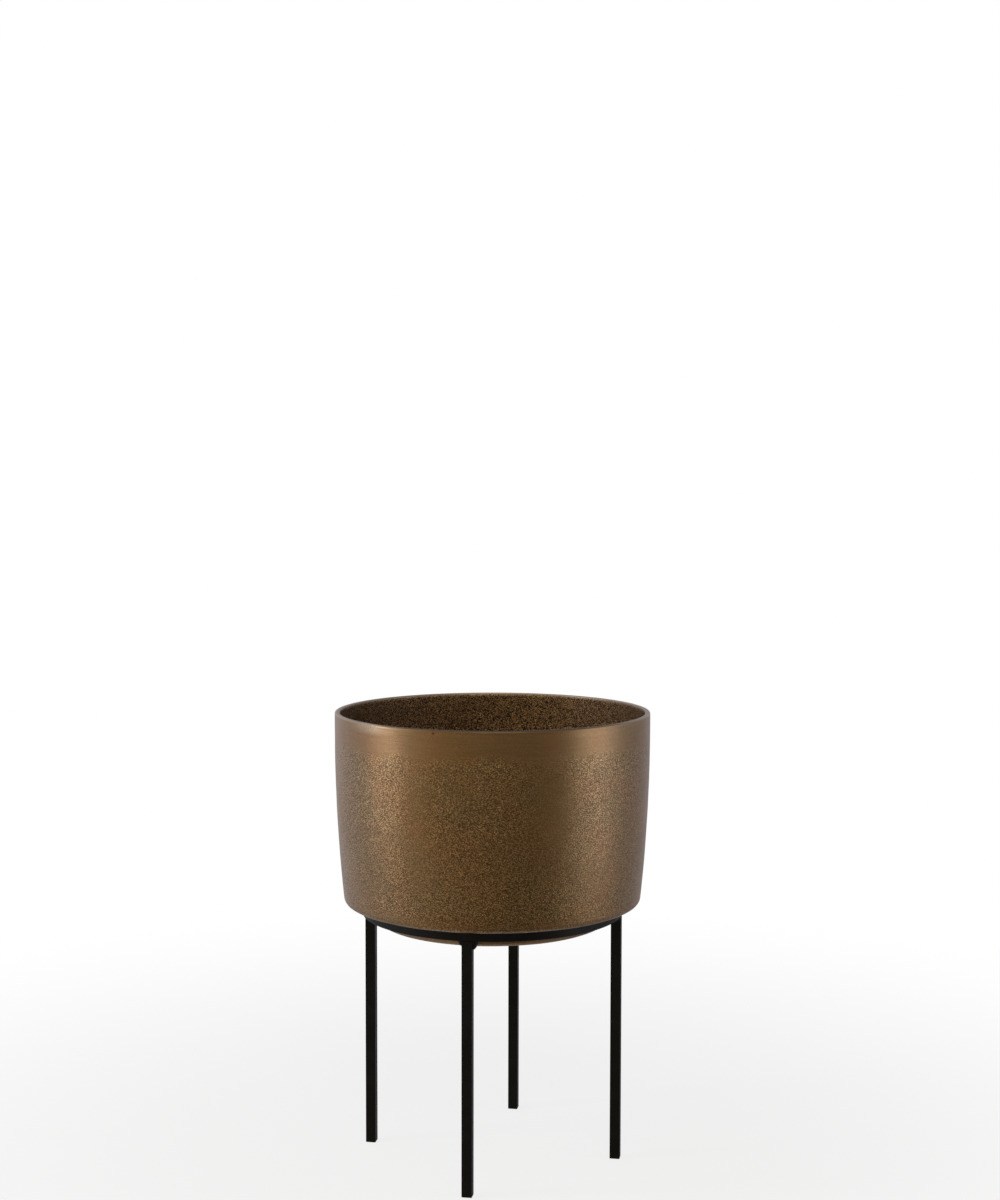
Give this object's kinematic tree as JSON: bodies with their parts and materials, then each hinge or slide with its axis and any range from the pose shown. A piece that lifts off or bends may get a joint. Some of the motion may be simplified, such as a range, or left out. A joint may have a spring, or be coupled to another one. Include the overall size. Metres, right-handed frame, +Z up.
{
  "type": "planter pot",
  "caption": "Drum-shaped cast brass planter pot whose stepped foot rests in the ring of a low black square-bar stand.",
  "frame": {"origin": "on the floor, on the pot's axis, midway between the four legs", "axes": "+Z up along the pot's axis; the legs stand on the X and Y axes, with the front leg at -Y"},
  "size_m": [0.312, 0.312, 0.444],
  "materials": {
    "antique_brass": "antique brass, pebbled as-cast side below a brushed band",
    "black_coat": "satin black powder coat"
  },
  "bodies": {
    "stand": {"stand_ring": "black_coat", "leg_front": "black_coat", "leg_right": "black_coat", "leg_back": "black_coat", "leg_left": "black_coat", "leg_welds_front": "black_coat", "leg_welds_right": "black_coat", "leg_welds_back": "black_coat", "leg_welds_left": "black_coat"},
    "pot": {"pot": "antique_brass"}
  },
  "joints": [
    {"name": "pot_lift", "type": "slide", "parent": "stand", "child": "pot", "axis": [0, 0, 1], "range_m": [0, 0.06]}
  ]
}
